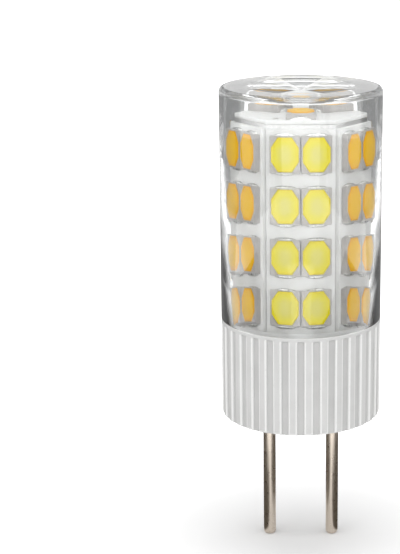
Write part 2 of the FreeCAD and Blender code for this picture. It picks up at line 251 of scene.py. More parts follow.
class FiredCeramic(Finish):
    """Pressed and fired white ceramic: satin, finely grained, with painted shade in the grooves and a painted
    highlight on the rib edges and the shoulder.
    """

    name = "fired_ceramic"

    def dress(self, tree: Tree, surface: Node) -> None:
        """Mottled white body with a fine grain; see Finish.dress."""
        mottle = Pattern(2.6).blend(tree, (0.3, linear("BFBFBE")), (0.72, linear("C8C8C7")))
        # Points deep in a groove are multiplied darker: painted shade in the recesses.
        depth = add_node(tree, "ShaderNodeAttribute", {"attribute_name": CeramicBase.DEPTH})
        groove_painted_shade = add_node(tree, "ShaderNodeMix", {"data_type": "RGBA", "blend_type": "MULTIPLY"}, {
            "Factor": depth.outputs["Fac"], 6: mottle, 7: linear("F3F3F3")})
        # Rib edges and the shoulder are mixed paler: a painted highlight that also lifts the shoulder out of
        # its shade.
        edge = add_node(tree, "ShaderNodeAttribute", {"attribute_name": CeramicBase.EDGE})
        painted_highlight = add_node(tree, "ShaderNodeMix", {"data_type": "RGBA"}, {
            "Factor": edge.outputs["Fac"], 6: groove_painted_shade.outputs[2], 7: linear("E2E2E1")})
        speck = Pattern(0.16, 2.0).blend(tree, (0.62, grey(0.0)), (0.74, grey(0.35)))
        spotted = add_node(tree, "ShaderNodeMix", {"data_type": "RGBA"}, {
            "Factor": speck, 6: painted_highlight.outputs[2], 7: linear("B2B2B0")})
        tree.links.new(spotted.outputs[2], surface.inputs["Base Color"])
        self.polish(tree, surface, Pattern(0.9), 0.36, 0.5, (0.25, 0.75))
        self.relief(tree, surface, Pattern(0.2, 4.0), 0.012, 0.6)
        surface.inputs["Coat Weight"].default_value = 0.25
        surface.inputs["Coat Roughness"].default_value = 0.22


class NickelPlate(Finish):
    """Drawn wire with a nickel plate: warm grey metal with fine lines along its length."""

    name = "nickel_plated_wire"

    # The real drawing lines are finer than a pixel, so these are drawn as coarse as they need to show.
    lines = Pattern(0.09, stretch=(1, 1, 0.02))

    def dress(self, tree: Tree, surface: Node) -> None:
        """Metal with drawn lines; see Finish.dress."""
        surface.inputs["Metallic"].default_value = 1.0
        self.tint(tree, surface, self.lines, "CFC3B5", "D8CDC0")
        self.polish(tree, surface, Pattern(0.5), 0.26, 0.34)
        self.relief(tree, surface, self.lines, 0.001)


class WhiteSolderMask(Finish):
    """White solder mask over laminate: bright, with a soft orange-peel gloss."""

    name = "white_solder_mask"

    def dress(self, tree: Tree, surface: Node) -> None:
        """White lacquer with a faint mottle; see Finish.dress."""
        self.tint(tree, surface, Pattern(1.5), "EBEBE9", "F4F4F3")
        self.polish(tree, surface, Pattern(0.6), 0.34, 0.46)
        self.relief(tree, surface, Pattern(0.3), 0.006)


class PackageResin(Finish):
    """Moulded package resin: warm grey, satin, with a mould grain drawn coarse enough to show."""

    name = "moulded_package_resin"

    def dress(self, tree: Tree, surface: Node) -> None:
        """Grey resin; see Finish.dress."""
        self.tint(tree, surface, Pattern(0.5), "B6B2AF", "C4C0BD")
        self.polish(tree, surface, Pattern(0.3), 0.38, 0.52)
        self.relief(tree, surface, Pattern(0.12), 0.004)


class PhosphorSilicone(Finish):
    """Phosphor powder in clear silicone: deeper at the rim, paled towards its middle by a painted highlight,
    softly glossy.
    """

    # The real powder is finer than a pixel, so it is drawn as coarse as it needs to show.
    powder = Pattern(0.14)

    def __init__(self, name: str, rim: str, body: str, heart: str) -> None:
        """Keep the mix's colours.

        Args:
            name: the material's name.
            rim: hex colour at the cup's wall.
            body: hex colour of the fill.
            heart: hex colour in the middle, where the painted highlight is palest.
        """
        super().__init__()
        self.name = name
        self.stops = ((0.0, linear(rim)), (0.3, linear(body)), (1.0, linear(heart)))

    def dress(self, tree: Tree, surface: Node) -> None:
        """Yellow fill with a painted highlight that pales it to its middle; see Finish.dress."""
        heart = add_node(tree, "ShaderNodeAttribute", {"attribute_name": LedSet.HEART})
        # The fill pales from its rim to its middle: a painted highlight.
        fill = add_node(tree, "ShaderNodeValToRGB", inputs={"Fac": heart.outputs["Fac"]}, stops=self.stops)
        dust = self.powder.blend(tree, (0.35, grey(0.94)), (0.65, grey(1.0)))
        dusty = add_node(tree, "ShaderNodeMix", {"data_type": "RGBA", "blend_type": "MULTIPLY"}, {
            "Factor": 1.0, 6: fill.outputs["Color"], 7: dust})
        tree.links.new(dusty.outputs[2], surface.inputs["Base Color"])
        self.polish(tree, surface, Pattern(0.4), 0.3, 0.4)
        self.relief(tree, surface, Pattern(0.18), 0.004)
        surface.inputs["Specular IOR Level"].default_value = 0.1
        surface.inputs["IOR"].default_value = 1.41


class TinSolder(Finish):
    """Reflowed tin solder: bright, slightly clouded metal."""

    name = "tin_solder"

    def dress(self, tree: Tree, surface: Node) -> None:
        """Clouded bright metal; see Finish.dress."""
        surface.inputs["Metallic"].default_value = 1.0
        self.tint(tree, surface, Pattern(0.25), "C6C6C4", "DCDCDA")
        self.polish(tree, surface, Pattern(0.15), 0.2, 0.36)


class ExtrudedAluminium(Finish):
    """Extruded aluminium: pale grey with die lines along the length."""

    name = "extruded_aluminium"
    lines = Pattern(0.2, stretch=(1, 1, 0.02))

    def dress(self, tree: Tree, surface: Node) -> None:
        """Metal with long die lines; see Finish.dress."""
        surface.inputs["Metallic"].default_value = 1.0
        self.tint(tree, surface, self.lines, "C4C3C2", "D8D7D6")
        self.polish(tree, surface, self.lines, 0.38, 0.5)
        self.relief(tree, surface, self.lines, 0.006)


class InnerPart(Finish):
    """A hidden driver part: one mottled colour with a satin or metal skin."""

    spread = 0.08

    def __init__(self, name: str, dark: str, light: str, metallic: float, rough: float) -> None:
        """Keep the part's colours.

        Args:
            name: the material's name.
            dark: hex colour of the mottle's dark spots.
            light: hex colour of its light spots.
            metallic: 1 for bare metal.
            rough: mean roughness.
        """
        super().__init__()
        self.name, self.dark, self.light, self.metallic, self.rough = name, dark, light, metallic, rough

    def dress(self, tree: Tree, surface: Node) -> None:
        """Mottled skin; see Finish.dress."""
        cloud = Pattern(0.6)
        surface.inputs["Metallic"].default_value = self.metallic
        self.tint(tree, surface, cloud, self.dark, self.light)
        self.polish(tree, surface, cloud, self.rough - self.spread, self.rough + self.spread)
        self.relief(tree, surface, Pattern(0.2), 0.006)


def deselect() -> None:
    """Deselect every object."""
    bpy.ops.object.select_all(action="DESELECT")


def activate(piece: Object) -> None:
    """Select one piece alone and make it active.

    Args:
        piece: the piece that the next operator works on.
    """
    deselect()
    piece.select_set(True)
    bpy.context.view_layer.objects.active = piece


@contextmanager
def editing(piece: Object) -> Iterator[None]:
    """Open a piece in edit mode with nothing selected, and close it after.

    Args:
        piece: the piece to edit.
    """
    activate(piece)
    bpy.ops.object.mode_set(mode="EDIT")
    bpy.ops.mesh.select_mode(type="VERT")
    bpy.ops.mesh.select_all(action="DESELECT")
    yield
    bpy.ops.object.mode_set(mode="OBJECT")


def pick_faces(piece: Object, test: Callable[[bmesh.types.BMFace], bool]) -> None:
    """Select the faces that pass a test of their place or normal.

    Args:
        piece: the piece in edit mode.
        test: says whether a face is picked.
    """
    bpy.ops.mesh.select_mode(type="FACE")
    mesh = bmesh.from_edit_mesh(piece.data)
    for face in mesh.faces:
        face.select_set(test(face))
    bmesh.update_edit_mesh(piece.data)


def pick_edges(piece: Object, test: Callable[[bmesh.types.BMEdge], bool]) -> None:
    """Select the edges that pass a test of their place.

    Args:
        piece: the piece in edit mode.
        test: says whether an edge is picked.
    """
    bpy.ops.mesh.select_mode(type="EDGE")
    mesh = bmesh.from_edit_mesh(piece.data)
    for edge in mesh.edges:
        edge.select_set(test(edge))
    bmesh.update_edit_mesh(piece.data)


def move_picked(piece: Object, place: Callable[[Vector], Vector]) -> None:
    """Move each selected vertex to a new place.

    Args:
        piece: the piece in edit mode.
        place: gives a vertex's new place from its old one.
    """
    mesh = bmesh.from_edit_mesh(piece.data)
    for vertex in mesh.verts:
        if vertex.select:
            vertex.co = place(vertex.co)
    bmesh.update_edit_mesh(piece.data)


def set_ring(piece: Object, spots: Sequence[Vector], first: int) -> None:
    """Put one ring of vertices in place.

    Args:
        piece: the piece in edit mode.
        spots: the ring's places.
        first: index of the ring's first vertex.
    """
    mesh = bmesh.from_edit_mesh(piece.data)
    mesh.verts.ensure_lookup_table()
    for offset, spot in enumerate(spots):
        mesh.verts[first + offset].co = spot
    bmesh.update_edit_mesh(piece.data)


def close_up() -> None:
    """Merge doubles and turn all normals outwards, in edit mode."""
    bpy.ops.mesh.select_all(action="SELECT")
    bpy.ops.mesh.remove_doubles(threshold=MERGE)
    bpy.ops.mesh.normals_make_consistent(inside=False)


def take_new(name: str) -> Object:
    """Name the primitive that was just added.

    Args:
        name: the piece's name.

    Returns:
        The new object.
    """
    piece = bpy.context.active_object
    piece.name = piece.data.name = name
    return piece


def apply_modifier(piece: Object, kind: str, **settings: object) -> None:
    """Add a modifier and apply it.

    Args:
        piece: the piece to change.
        kind: Blender's modifier type.
        settings: its attributes.
    """
    activate(piece)
    modifier = piece.modifiers.new(kind.title(), kind)
    for name, value in settings.items():
        setattr(modifier, name, value)
    bpy.ops.object.modifier_apply(modifier=modifier.name)


def cut_away(piece: Object, cutter: Object) -> None:
    """Cut one piece by another, which is then deleted.

    Args:
        piece: the piece that is cut.
        cutter: the form that is taken out of it.
    """
    apply_modifier(piece, "BOOLEAN", operation="DIFFERENCE", solver="EXACT", object=cutter)
    bpy.data.objects.remove(cutter, do_unlink=True)


def drill(piece: Object, spot: Vector, radius_mm: float, length_mm: float, sides: int) -> None:
    """Drill an upright hole through a piece.

    Args:
        piece: the piece that is drilled.
        spot: the middle of the drill.
        radius_mm: the hole's radius.
        length_mm: the drill's length.
        sides: flat sides of the hole.
    """
    deselect()
    bpy.ops.mesh.primitive_cylinder_add(
        vertices=sides, radius=radius_mm * MM, depth=length_mm * MM, location=spot)
    cut_away(piece, take_new("drill"))


def smooth(piece: Object, angle: float) -> None:
    """Shade a piece smooth where its faces meet at less than an angle in degrees."""
    activate(piece)
    bpy.ops.object.shade_smooth_by_angle(angle=radians(angle))


def ease_edges(piece: Object, width_mm: float, segments: int = 2, angle: float = 35.0) -> None:
    """Round a piece's sharp edges and smooth its shading.

    Args:
        piece: the piece to finish.
        width_mm: width of the rounded edge.
        segments: steps across it.
        angle: edges sharper than this many degrees are rounded.
    """
    apply_modifier(piece, "BEVEL", width=width_mm * MM, segments=segments, limit_method="ANGLE",
                   angle_limit=radians(angle), harden_normals=True)
    smooth(piece, angle)


def spun(name: str, profile: Profile, steps: int = SPIN_STEPS) -> Object:
    """Spin a profile of (radius, z) points in metres about the lamp's axis.

    Args:
        name: the piece's name.
        profile: the points in order, as an open chain.
        steps: divisions of the full turn.

    Returns:
        The new piece.
    """
    deselect()
    bpy.ops.mesh.primitive_plane_add(size=MM)
    piece = take_new(name)
    with editing(piece):
        bpy.ops.mesh.select_all(action="SELECT")
        bpy.ops.mesh.merge(type="CENTER")
        bpy.ops.transform.translate(value=(profile[0][0], 0, profile[0][1]))
        for (r0, z0), (r1, z1) in zip(profile, profile[1:]):
            bpy.ops.mesh.extrude_region_move(TRANSFORM_OT_translate={"value": (r1 - r0, 0, z1 - z0)})
        bpy.ops.mesh.select_all(action="SELECT")
        bpy.ops.mesh.spin(steps=steps, angle=2 * pi, center=(0, 0, 0), axis=(0, 0, 1))
        close_up()
    return piece


def arc(centre: tuple[float, float], radius: float, start: float, end: float, steps: int) -> Profile:
    """Points on an arc of a profile.

    Args:
        centre: its centre (radius, z) in metres.
        radius: its radius in metres.
        start: first angle in degrees, 0 outwards and 90 up.
        end: last angle in degrees.
        steps: divisions.

    Returns:
        The points from start to end.
    """
    angles = [radians(start + (end - start) * step / steps) for step in range(steps + 1)]
    return [(centre[0] + radius * cos(a), centre[1] + radius * sin(a)) for a in angles]


def copy_of(piece: Object, matrix: Matrix) -> Object:
    """Copy a piece with its own mesh and put the copy in place.

    Args:
        piece: the pattern.
        matrix: the copy's place, seen from the pattern.

    Returns:
        The copy.
    """
    twin = piece.copy()
    twin.data = piece.data.copy()
    twin.data.transform(matrix)
    bpy.context.collection.objects.link(twin)
    return twin


def joined(name: str, parts: Sequence[Object]) -> Object:
    """Join pieces into one.

    Args:
        name: the new piece's name.
        parts: the pieces, which become one object.

    Returns:
        The joined piece.
    """
    deselect()
    for part in parts:
        part.select_set(True)
    bpy.context.view_layer.objects.active = parts[0]
    bpy.ops.object.join()
    return take_new(name)


def discard(pattern: Object) -> None:
    """Delete a pattern that has been copied."""
    bpy.data.objects.remove(pattern, do_unlink=True)


def dress(piece: Object, finish: Finish, node: str) -> Object:
    """Give a finished piece its material and body, and hide the CAD node that it stands for.

    Args:
        piece: the finished piece.
        finish: its surface.
        node: the CAD node that it replaces.

    Returns:
        The piece.
    """
    piece.data.materials.clear()
    piece.data.materials.append(finish.material())
    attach(piece, BODY)
    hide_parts(node)
    LOG.info("made %s with %d faces", piece.name, len(piece.data.polygons))
    return piece


def turn(face: int) -> Matrix:
    """Turn from the front face of the column to another face."""
    return Matrix.Rotation(2 * pi * face / SIDES, 4, "Z")


class Face(Enum):
    """The six faces of the LED column, counted from the front."""

    FRONT = 0
    FRONT_RIGHT = 1
    BACK_RIGHT = 2
    BACK = 3
    BACK_LEFT = 4
    FRONT_LEFT = 5


@dataclass
class ClearCover:
    """The clear cap: rounded top edge and low facets sunk into its top."""

    radius: float
    foot: float
    top: float
    wall_mm: float = 0.5
    roof_mm: float = 0.6
    edge_mm: float = 0.5
    lip_mm: float = 0.08
    fillet_mm: float = 0.12
    facets: int = 8
    facet_radius_mm: float = 5.6
    facet_depth_mm: float = 0.37
    crease_deg: float = 1.0

    @classmethod
    def from_frame(cls) -> "ClearCover":
        """Read the cover's sizes from the frame."""
        low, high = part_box("cover")
        return cls(radius=high[0], foot=low[2], top=high[2])

    @property
    def bore(self) -> float:
        """Radius of the bore."""
        return self.radius - self.wall_mm * MM

    @property
    def ceiling(self) -> float:
        """Height of the ceiling under the top."""
        return self.top - self.roof_mm * MM

    def profile(self) -> Profile:
        """Draw the wall from the axis under the ceiling, down inside and up outside to the top's rim.

        Returns:
            The points of the profile.
        """
        edge, lip, fillet = (size * MM for size in (self.edge_mm, self.lip_mm, self.fillet_mm))
        ceiling = [(0.0, self.ceiling)] + arc((self.bore - fillet, self.ceiling - fillet), fillet, 90, 0, 6)
        foot = [(self.bore, self.foot + lip), (self.bore + lip, self.foot),
                (self.radius - lip, self.foot), (self.radius, self.foot + lip)]
        return ceiling + foot + arc((self.radius - edge, self.top - edge), edge, 0, 90, 12)

    def on_octagon(self, spot: Vector) -> Vector:
        """Slide a point of the top's rim in to the facets' many-sided rim.

        Args:
            spot: a point on the round rim.

        Returns:
            The point at the same angle on the facets' rim.
        """
        angle = atan2(spot.y, spot.x)
        step = 2 * pi / self.facets
        off = (angle + step / 2) % step - step / 2
        reach = self.facet_radius_mm * MM * cos(step / 2) / cos(off)
        return Vector((reach * cos(angle), reach * sin(angle), self.top))

    def is_crease(self, edge: bmesh.types.BMEdge) -> bool:
        """Tell whether an edge stays crisp: the facets' ridges and their rim.

        Args:
            edge: an edge of the cover.

        Returns:
            True for a crisp edge.
        """
        reach = self.facet_radius_mm * MM + MERGE
        floor = self.ceiling + MERGE
        on_facets = all(hypot(v.co.x, v.co.y) <= reach and v.co.z > floor for v in edge.verts)
        return on_facets and edge.calc_face_angle(0.0) > radians(self.crease_deg)

    def build(self, finish: Finish) -> Object:
        """Spin the wall and extrude the faceted top from its open rim.

        Args:
            finish: the cover's surface.

        Returns:
            The cover.
        """
        piece = spun("cover_clear", self.profile())
        apex = Vector((0, 0, self.top - self.facet_depth_mm * MM))
        with editing(piece):
            pick_edges(piece, lambda edge: edge.is_boundary)
            bpy.ops.mesh.extrude_edges_move()
            move_picked(piece, self.on_octagon)
            bpy.ops.mesh.extrude_edges_move()
            move_picked(piece, lambda spot: apex)
            close_up()
            pick_edges(piece, self.is_crease)
            bpy.ops.mesh.mark_sharp()
        activate(piece)
        bpy.ops.object.shade_smooth()
        return dress(piece, finish, "cover")


@dataclass
class CeramicBase:
    """The ribbed cup: rounded ribs, rim, spigot and a stepped hollow."""

    DEPTH = "groove_depth"
    EDGE = "rib_edge"

    radius: float
    height: float
    spigot_top: float
    pin_reach: float
    ribs: int = 32
    rib_half_deg: float = 2.9
    flank_deg: float = 0.65
    rib_height_mm: float = 0.28
    rim_mm: float = 0.3
    foot_mm: float = 0.3
    foot_flat_mm: float = 0.2
    edge_mm: float = 0.06
    underside_share: float = 0.6
    spigot_inset_mm: float = 0.57
    well_radius_mm: float = 6.55
    well_depth_mm: float = 3.0
    cavity_radius_mm: float = 5.267
    ledge_radius_mm: float = 4.667
    ledge_mm: float = 3.4
    floor_mm: float = 2.2
    stem_hole_mm: float = 0.88
    drill_mm: float = 8.0

    @classmethod
    def from_frame(cls) -> "CeramicBase":
        """Read the base's sizes from the frame.

        Returns:
            The base.
        """
        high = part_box("ceramic_base")[1]
        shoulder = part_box("cover")[0][2]
        spacing = frame["record"]["mounts"][0]["dims"]["spacing_x_mm"]
        return cls(radius=high[0], height=shoulder, spigot_top=high[2], pin_reach=spacing / 2 * MM)

    def rib_steps(self) -> Profile:
        """Draw one rib from groove to groove.

        Returns:
            Angle in degrees from the rib's middle, and the share of its height that has been lost there.
        """
        half_pitch = 180 / self.ribs
        top, foot = self.rib_half_deg, self.rib_half_deg + self.flank_deg
        shoulder = [(top - 1.1, 0.01), (top - 0.65, 0.05), (top - 0.25, 0.16), (top, 0.32)]
        valley = [(foot - 0.15, 0.82), (foot + 0.1, 0.97), (foot + 0.5, 1.0)]
        side = shoulder + valley
        mirrored = [(-angle, share) for angle, share in reversed(side)]
        return mirrored + [(0.0, 0.0)] + side + [(half_pitch, 1.0)]

    def ring(self, inset: float, z: float, relief: float) -> list[Vector]:
        """Lay one ring of points round the base.

        Args:
            inset: how far the ring's envelope lies inside the full radius, in metres.
            z: the ring's height.
            relief: share of the ribs' height that shows.

        Returns:
            The points in order round the axis.
        """
        pitch = 360 / self.ribs
        spots = []
        for rib in range(self.ribs):
            for angle, share in self.rib_steps():
                turned = radians(-90 + pitch * (rib + 0.5) + angle)
                reach = self.radius - max(inset, share * relief * self.rib_height_mm * MM)
                spots.append(Vector((reach * cos(turned), reach * sin(turned), z)))
        return spots

    def outer_steps(self) -> list[tuple[float, float, float]]:
        """Inset, height and rib relief of the rings from the underside up to the shoulder.

        Returns:
            The steps in order.
        """
        foot, rim, rib, edge = (s * MM for s in (self.foot_mm, self.rim_mm, self.rib_height_mm, self.edge_mm))
        run_out = self.height - rim
        steps = [(self.radius * self.underside_share, 0.0, 1.0), (foot + self.foot_flat_mm * MM, 0.0, 1.0)]
        for angle in (0.0, pi / 8, pi / 4, 3 * pi / 8, pi / 2):
            steps.append((foot * (1 - sin(angle)), foot * (1 - cos(angle)), 1.0))
        steps.append((0.0, self.height * 0.5, 1.0))
        for share in (0.0, 0.3, 0.55, 0.75, 0.9, 1.0):
            steps.append((0.0, run_out - rib * (1 - share), 1.0 - share * share))
        return steps + [(0.0, self.height - edge, 0.0), (edge * 0.3, self.height - edge * 0.3, 0.0),
                        (edge, self.height, 0.0)]

    def inner_steps(self) -> list[tuple[float, float, float]]:
        """Inset, height and rib relief of the rings from the spigot down into the hollow.

        Returns:
            The steps in order.
        """
        edge, top = self.edge_mm * MM, self.spigot_top
        spigot, well_foot = self.spigot_inset_mm * MM, top - self.well_depth_mm * MM
        radii = (self.well_radius_mm, self.cavity_radius_mm, self.ledge_radius_mm)
        well, cavity, ledge = (self.radius - radius * MM for radius in radii)
        ledge_z, floor_z = self.ledge_mm * MM, self.floor_mm * MM
        outlet = [(spigot, self.height), (spigot, top - edge), (spigot + edge * 0.3, top - edge * 0.3),
                  (spigot + edge, top), (well - edge, top), (well, top - edge), (well, well_foot)]
        hollow = [(cavity, well_foot), (cavity, ledge_z), (ledge, ledge_z), (ledge, floor_z)]
        return [(inset, z, 0.0) for inset, z in outlet + hollow]

    def paint(self, piece: Object) -> None:
        """Store how deep each point lies in a groove, for the painted shade, and whether it is on a rib edge
        or the shoulder, for the painted highlight.

        Args:
            piece: the finished base.
        """
        depths = piece.data.attributes.new(self.DEPTH, "FLOAT", "POINT")
        edges = piece.data.attributes.new(self.EDGE, "FLOAT", "POINT")
        for vertex, depth, edge in zip(piece.data.vertices, depths.data, edges.data):
            share = (self.radius - hypot(vertex.co.x, vertex.co.y)) / (self.rib_height_mm * MM)
            outside = share < 1.5
            depth.value = min(share, 1.0) if outside else 0.0
            # The shoulder and the rounded rib edges take the painted highlight.
            on_shoulder = vertex.co.z > self.height - MERGE
            edge.value = 1.0 if on_shoulder or 0.03 < share < 0.4 else 0.0

    def build(self, finish: Finish) -> Object:
        """Extrude the ribbed outline ring by ring, close both ends and drill the pin holes.

        Args:
            finish: the base's surface.

        Returns:
            The base.
        """
        rings = [self.ring(*step) for step in self.outer_steps() + self.inner_steps()]
        count = len(rings[0])
        deselect()
        bpy.ops.mesh.primitive_circle_add(vertices=count, radius=self.radius)
        piece = take_new("base_ceramic")
        with editing(piece):
            bpy.ops.mesh.select_all(action="SELECT")
            set_ring(piece, rings[0], 0)
            for number, spots in enumerate(rings[1:], 1):
                bpy.ops.mesh.extrude_edges_move()
                set_ring(piece, spots, number * count)
            pick_edges(piece, lambda edge: edge.is_boundary)
            bpy.ops.mesh.edge_face_add()
            close_up()
        for side in (-1, 1):
            drill(piece, Vector((side * self.pin_reach, 0, 0)), self.stem_hole_mm, self.drill_mm, 64)
        self.paint(piece)
        smooth(piece, 32)
        return dress(piece, finish, "ceramic_base")


@dataclass
class ContactPins:
    """The two turned pins, with a rounded tip, a stem in the base and a stub on the board."""

    reach: float
    tip: float
    radius_mm: float = 0.625
    tip_mm: float = 0.36
    stem_mm: float = 0.85
    head_mm: float = 1.15
    floor_mm: float = 2.2
    head_top_mm: float = 2.7
    stub_mm: float = 5.3
    edge_mm: float = 0.05

    @classmethod
    def from_frame(cls) -> "ContactPins":
        """Read the pins' place and length from the frame."""
        low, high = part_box("contact_pin_right")
        return cls(reach=(low[0] + high[0]) / 2, tip=low[2])

    def build(self, finish: Finish) -> None:
        """Spin one pin and copy it to both sides.

        Args:
            finish: the pins' surface.
        """
        r, nose = self.radius_mm * MM, self.tip_mm * MM
        stem, head = self.stem_mm * MM, self.head_mm * MM
        floor, head_top, stub = self.floor_mm * MM, self.head_top_mm * MM, self.stub_mm * MM
        profile = [(0.0, self.tip)] + arc((r - nose, self.tip + nose), nose, -90, 0, 10)
        profile += [(r, 0.0), (stem, 0.0), (stem, floor), (head, floor), (head, head_top)]
        profile += [(r, head_top), (r, stub), (0.0, stub)]
        pattern = spun("pin_pattern", profile, 64)
        ease_edges(pattern, self.edge_mm)
        for side, reach in (("left", -self.reach), ("right", self.reach)):
            pin = copy_of(pattern, Matrix.Translation((reach, 0, 0)))
            pin.name = pin.data.name = f"pin_{side}"
            dress(pin, finish, f"contact_pin_{side}")
        discard(pattern)


@dataclass
class LedSet:
    """The LEDs: moulded packages, phosphor fills and solder joints, on every board."""

    HEART = "phosphor_heart"
    WINDOW_SIDES = 8

    half_width_mm: float = 1.4
    half_length_mm: float = 1.75
    height_mm: float = 0.6
    corner_mm: float = 0.1
    edge_mm: float = 0.035
    frame_mm: float = 0.13
    cut_across_mm: float = 0.62
    cut_along_mm: float = 0.95
    cup_mm: float = 0.35
    cutter_mm: float = 0.5
    fill_gap_mm: float = 0.004
    fill_foot_mm: float = 0.005
    fill_edge_mm: float = 0.03
    heart_squash: float = 0.78
    column_mm: float = 1.45
    row_pitch_mm: float = 4.85
    rows: int = 4
    solder_half_mm: float = 1.0
    solder_reach_mm: float = 0.22
    solder_height_mm: float = 0.3
    # Each ring of the phosphor's crown: how far it lies in from the window, and how far above the last.
    crown_mm: tuple[tuple[float, float], ...] = (
        (0.12, 0.05), (0.3, 0.01), (0.5, 0.008), (0.75, 0.006), (1.0, 0.002))

    def window(self, inset_mm: float, z_mm: float) -> list[Vector]:
        """Corners of the octagonal window.

        Args:
            inset_mm: how far every side is moved in.
            z_mm: height above the board.

        Returns:
            The eight corners, counter-clockwise.
        """
        slope = hypot(self.cut_across_mm, self.cut_along_mm)
        x_far = self.half_width_mm - self.frame_mm - inset_mm
        y_far = self.half_length_mm - self.frame_mm - inset_mm
        x_near = self.half_width_mm - self.frame_mm - self.cut_across_mm
        x_near -= inset_mm * (slope - self.cut_across_mm) / self.cut_along_mm
        y_near = self.half_length_mm - self.frame_mm - self.cut_along_mm
        y_near -= inset_mm * (slope - self.cut_along_mm) / self.cut_across_mm
        half = [(x_far, y_near), (x_near, y_far), (-x_near, y_far), (-x_far, y_near)]
        corners = half + [(-x, -y) for x, y in half]
        return [Vector((x, y, z_mm)) * MM for x, y in corners]

    def octagon(self, name: str, low_mm: float, high_mm: float, inset_mm: float) -> Object:
        """An octagonal prism in the shape of the window.

        Args:
            name: the piece's name.
            low_mm: height of its foot.
            high_mm: height of its top.
            inset_mm: how far it stays inside the window.

        Returns:
            The prism.
        """
        deselect()
        bpy.ops.mesh.primitive_circle_add(vertices=self.WINDOW_SIDES, radius=MM, fill_type="NGON")
        piece = take_new(name)
        rise = (0, 0, (high_mm - low_mm) * MM)
        with editing(piece):
            bpy.ops.mesh.select_all(action="SELECT")
            set_ring(piece, self.window(inset_mm, low_mm), 0)
            bpy.ops.mesh.extrude_region_move(TRANSFORM_OT_translate={"value": rise})
            close_up()
        return piece

    def package(self) -> Object:
        """Make one package lying on z = 0: an eased block with the octagonal cup cut in its face.

        Returns:
            The package.
        """
        deselect()
        bpy.ops.mesh.primitive_cube_add(size=1)
        piece = take_new("package_pattern")
        size = (2 * self.half_width_mm * MM, 2 * self.half_length_mm * MM, self.height_mm * MM)
        with editing(piece):
            bpy.ops.mesh.select_all(action="SELECT")
            bpy.ops.transform.resize(value=size)
            bpy.ops.transform.translate(value=(0, 0, self.height_mm / 2 * MM))
            pick_edges(piece, lambda edge: abs(edge.verts[0].co.z - edge.verts[1].co.z) > MERGE)
            bpy.ops.mesh.bevel(offset=self.corner_mm * MM, segments=3, affect="EDGES")
        cup_foot, cutter_top = self.height_mm - self.cup_mm, self.height_mm + self.cutter_mm
        cut_away(piece, self.octagon("cup_cutter", cup_foot, cutter_top, 0.0))
        ease_edges(piece, self.edge_mm)
        return piece

    def phosphor(self) -> Object:
        """Make one phosphor fill: bevelled at its rim, then crowned in rings.

        Returns:
            The fill, which holds how near each point lies to its heart, for the painted highlight.
        """
        foot = self.height_mm - self.cup_mm + self.fill_foot_mm
        piece = self.octagon("phosphor_pattern", foot, self.height_mm, self.fill_gap_mm)
        with editing(piece):
            pick_faces(piece, lambda face: face.normal.z > 0.9)
            z = self.height_mm
            for inset, rise in self.crown_mm:
                bpy.ops.mesh.extrude_region_move(TRANSFORM_OT_translate={"value": (0, 0, rise * MM)})
                z += rise
                spots = self.window(inset, z)
                move_picked(piece, lambda corner: min(spots, key=lambda spot: (spot - corner).length))
            close_up()
        heart = piece.data.attributes.new(self.HEART, "FLOAT", "POINT")
        reach = self.half_width_mm * MM
        for vertex, near in zip(piece.data.vertices, heart.data):
            near.value = max(0.0, 1.0 - hypot(vertex.co.x, vertex.co.y * self.heart_squash) / reach)
        ease_edges(piece, self.fill_edge_mm)
        return piece

    def solder(self) -> Object:
        """Make the two half-moon solder joints of one package, each a quarter of a flattened ball.

        Returns:
            The pair of joints.
        """
        deselect()
        bpy.ops.mesh.primitive_uv_sphere_add(segments=32, ring_count=16, radius=MM)
        piece = take_new("solder_pattern")
        end = self.half_length_mm * MM
        with editing(piece):
            bpy.ops.mesh.select_all(action="SELECT")
            bpy.ops.transform.resize(value=(self.solder_half_mm, self.solder_reach_mm, self.solder_height_mm))
            bpy.ops.transform.translate(value=(0, end, 0))
            pick_faces(piece, lambda f: f.calc_center_median().y < end or f.calc_center_median().z < 0)
            bpy.ops.mesh.delete(type="FACE")
            pick_edges(piece, lambda e: e.is_boundary and all(abs(v.co.z) < MERGE for v in e.verts))
            bpy.ops.mesh.edge_face_add()
            pick_edges(piece, lambda e: e.is_boundary)
            bpy.ops.mesh.edge_face_add()
            close_up()
        smooth(piece, 40)
        pair = [copy_of(piece, Matrix()), copy_of(piece, Matrix.Rotation(pi, 4, "Z"))]
        discard(piece)
        return joined("solder_pair", pair)

    def side_places(self) -> list[Matrix]:
        """Find where the packages lie on the front board.

        Returns:
            Their places, row by row from the top.
        """
        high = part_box("side_led_packages_1")[1]
        upright = Matrix.Rotation(pi / 2, 4, "X")
        first = high[2] - self.half_length_mm * MM
        rows = [first - row * self.row_pitch_mm * MM for row in range(self.rows)]
        columns = (-self.column_mm * MM, self.column_mm * MM)
        return [Matrix.Translation((x, high[1], z)) @ upright for z in rows for x in columns]

    def top_places(self) -> list[Matrix]:
        """Find where the packages lie on the top board.

        Returns:
            Their places, one on every other side.
        """
        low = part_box("top_led_packages")[0]
        centre = low[1] + self.half_length_mm * MM
        return [turn(2 * step) @ Matrix.Translation((0, centre, low[2])) for step in range(SIDES // 2)]

